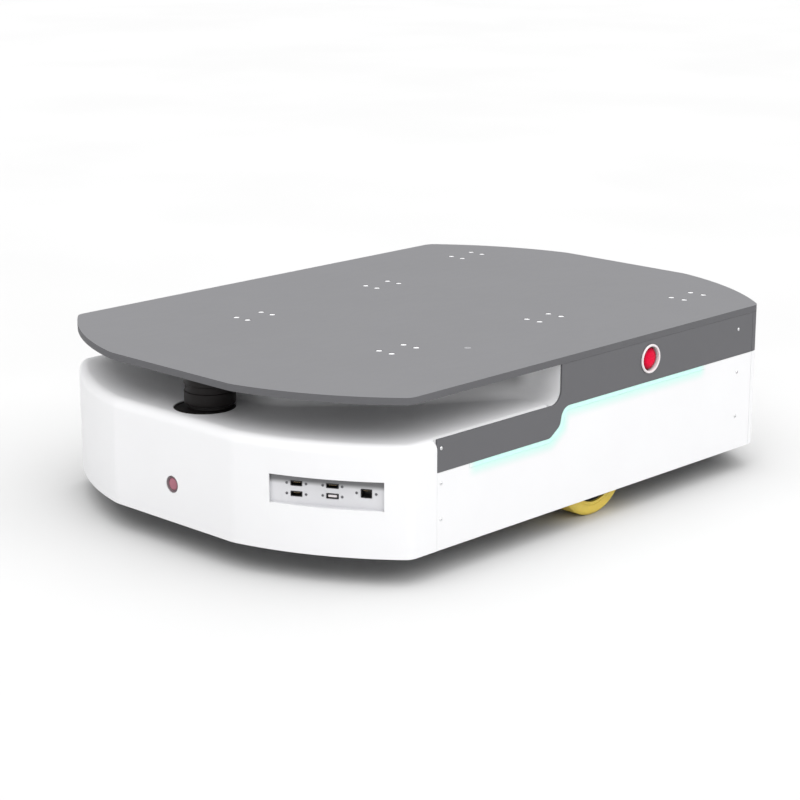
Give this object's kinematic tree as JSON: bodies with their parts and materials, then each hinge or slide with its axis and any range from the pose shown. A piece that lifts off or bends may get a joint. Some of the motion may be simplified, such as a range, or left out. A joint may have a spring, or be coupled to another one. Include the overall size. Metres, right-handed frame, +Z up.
{
  "type": "low platform mobile robot",
  "caption": "Low flat-deck mobile robot with driven wheels, swivel casters, a scanner slot under the nose of the deck, emergency stops and a service window.",
  "frame": {"origin": "on the floor under the middle of the deck, which is the bottom centre of the bounding box", "axes": "+X forward, toward the end with the scanner and the start button; +Y to the left; +Z up"},
  "size_m": [1, 0.7046, 0.262],
  "materials": {
    "deck_grey": "fine textured matt powder coat",
    "band_grey": "satin powder coat",
    "cover_white": "satin moulded white",
    "panel_grey": "light grey powder coat",
    "light_diffuser": "frosted acrylic, lit from behind",
    "button_red": "glossy red",
    "tyre_yellow": "cast polyurethane",
    "caster_rubber": "matt",
    "bare_aluminium": "milled",
    "chassis_paint": "matt dark powder coat on steel",
    "zinc_steel": "zinc plated",
    "battery_case": "textured case",
    "black_plastic": "satin black"
  },
  "bodies": {
    "chassis": {"deck_plate": "deck_grey", "load_rail_front": "bare_aluminium", "load_rail_middle": "bare_aluminium", "load_rail_rear": "bare_aluminium", "chassis_plate": "chassis_paint", "side_frame_left": "chassis_paint", "side_frame_right": "chassis_paint", "deck_post_left": "chassis_paint", "deck_post_right": "chassis_paint", "rear_frame": "chassis_paint", "nose_cover": "cover_white", "rear_cover": "cover_white", "rear_band": "band_grey", "side_band_left": "band_grey", "side_band_right": "band_grey", "side_panel_left": "cover_white", "side_panel_right": "cover_white", "light_strip_left": "light_diffuser", "light_strip_right": "light_diffuser", "stop_body_left": "cover_white", "stop_body_right": "cover_white", "start_bezel": "black_plastic", "service_panel": "panel_grey", "usb_socket_upper": "black_plastic", "usb_socket_lower": "black_plastic", "video_socket": "black_plastic", "serial_socket": "bare_aluminium", "network_socket": "black_plastic", "scanner_foot": "black_plastic", "scanner_collar": "black_plastic", "gearmotor_left": "zinc_steel", "drive_bracket_left": "bare_aluminium", "gearmotor_right": "zinc_steel", "drive_bracket_right": "bare_aluminium", "caster_plate_front_left": "zinc_steel", "caster_plate_front_right": "zinc_steel", "caster_plate_rear_left": "zinc_steel", "caster_plate_rear_right": "zinc_steel", "battery": "battery_case", "motor_driver": "black_plastic", "controller": "bare_aluminium", "charge_block": "black_plastic"},
    "drive_wheel_left": {"drive_tyre_left": "tyre_yellow", "drive_hub_left": "black_plastic"},
    "stop_stem_left": {"stop_stem_left": "black_plastic"},
    "stop_cap_left": {"stop_cap_left": "button_red"},
    "drive_wheel_right": {"drive_tyre_right": "tyre_yellow", "drive_hub_right": "black_plastic"},
    "stop_stem_right": {"stop_stem_right": "black_plastic"},
    "stop_cap_right": {"stop_cap_right": "button_red"},
    "caster_swivel_front_left": {"caster_fork_front_left": "zinc_steel"},
    "caster_roller_front_left": {"caster_wheel_front_left": "caster_rubber"},
    "caster_swivel_front_right": {"caster_fork_front_right": "zinc_steel"},
    "caster_roller_front_right": {"caster_wheel_front_right": "caster_rubber"},
    "caster_swivel_rear_left": {"caster_fork_rear_left": "zinc_steel"},
    "caster_roller_rear_left": {"caster_wheel_rear_left": "caster_rubber"},
    "caster_swivel_rear_right": {"caster_fork_rear_right": "zinc_steel"},
    "caster_roller_rear_right": {"caster_wheel_rear_right": "caster_rubber"},
    "start_button": {"start_button": "button_red"},
    "scanner_head": {"scanner_head": "black_plastic"}
  },
  "joints": [
    {"name": "left_wheel_spin", "type": "hinge", "parent": "chassis", "child": "drive_wheel_left", "pos_m": [-0.03, 0.305, 0.073], "axis": [0, 1, 0], "continuous": true},
    {"name": "left_stop_press", "type": "slide", "parent": "chassis", "child": "stop_stem_left", "axis": [0, -1, 0], "range_m": [0, 0.004]},
    {"name": "left_stop_twist", "type": "hinge", "parent": "stop_stem_left", "child": "stop_cap_left", "pos_m": [-0.1216, 0.35, 0.224], "axis": [0, -1, 0], "range_deg": [0, 45], "stiffness_Nm_per_rad": 0.02},
    {"name": "right_wheel_spin", "type": "hinge", "parent": "chassis", "child": "drive_wheel_right", "pos_m": [-0.03, -0.305, 0.073], "axis": [0, 1, 0], "continuous": true},
    {"name": "right_stop_press", "type": "slide", "parent": "chassis", "child": "stop_stem_right", "axis": [0, 1, 0], "range_m": [0, 0.004]},
    {"name": "right_stop_twist", "type": "hinge", "parent": "stop_stem_right", "child": "stop_cap_right", "pos_m": [-0.1216, -0.35, 0.224], "axis": [0, 1, 0], "range_deg": [0, 45], "stiffness_Nm_per_rad": 0.02},
    {"name": "front_left_caster_swivel", "type": "hinge", "parent": "chassis", "child": "caster_swivel_front_left", "pos_m": [0.32, 0.19, 0.092], "axis": [0, 0, 1], "continuous": true},
    {"name": "front_left_caster_roll", "type": "hinge", "parent": "caster_swivel_front_left", "child": "caster_roller_front_left", "pos_m": [0.292, 0.19, 0.0375], "axis": [0, 1, 0], "continuous": true},
    {"name": "front_right_caster_swivel", "type": "hinge", "parent": "chassis", "child": "caster_swivel_front_right", "pos_m": [0.32, -0.19, 0.092], "axis": [0, 0, 1], "continuous": true},
    {"name": "front_right_caster_roll", "type": "hinge", "parent": "caster_swivel_front_right", "child": "caster_roller_front_right", "pos_m": [0.292, -0.19, 0.0375], "axis": [0, 1, 0], "continuous": true},
    {"name": "rear_left_caster_swivel", "type": "hinge", "parent": "chassis", "child": "caster_swivel_rear_left", "pos_m": [-0.32, 0.19, 0.092], "axis": [0, 0, 1], "continuous": true},
    {"name": "rear_left_caster_roll", "type": "hinge", "parent": "caster_swivel_rear_left", "child": "caster_roller_rear_left", "pos_m": [-0.348, 0.19, 0.0375], "axis": [0, 1, 0], "continuous": true},
    {"name": "rear_right_caster_swivel", "type": "hinge", "parent": "chassis", "child": "caster_swivel_rear_right", "pos_m": [-0.32, -0.19, 0.092], "axis": [0, 0, 1], "continuous": true},
    {"name": "rear_right_caster_roll", "type": "hinge", "parent": "caster_swivel_rear_right", "child": "caster_roller_rear_right", "pos_m": [-0.348, -0.19, 0.0375], "axis": [0, 1, 0], "continuous": true},
    {"name": "start_press", "type": "slide", "parent": "chassis", "child": "start_button", "axis": [-1, 0, 0], "range_m": [0, 0.0025], "stiffness_N_per_m": 200},
    {"name": "scanner_spin", "type": "hinge", "parent": "chassis", "child": "scanner_head", "pos_m": [0.427, 0, 0.2], "axis": [0, 0, 1], "continuous": true}
  ]
}
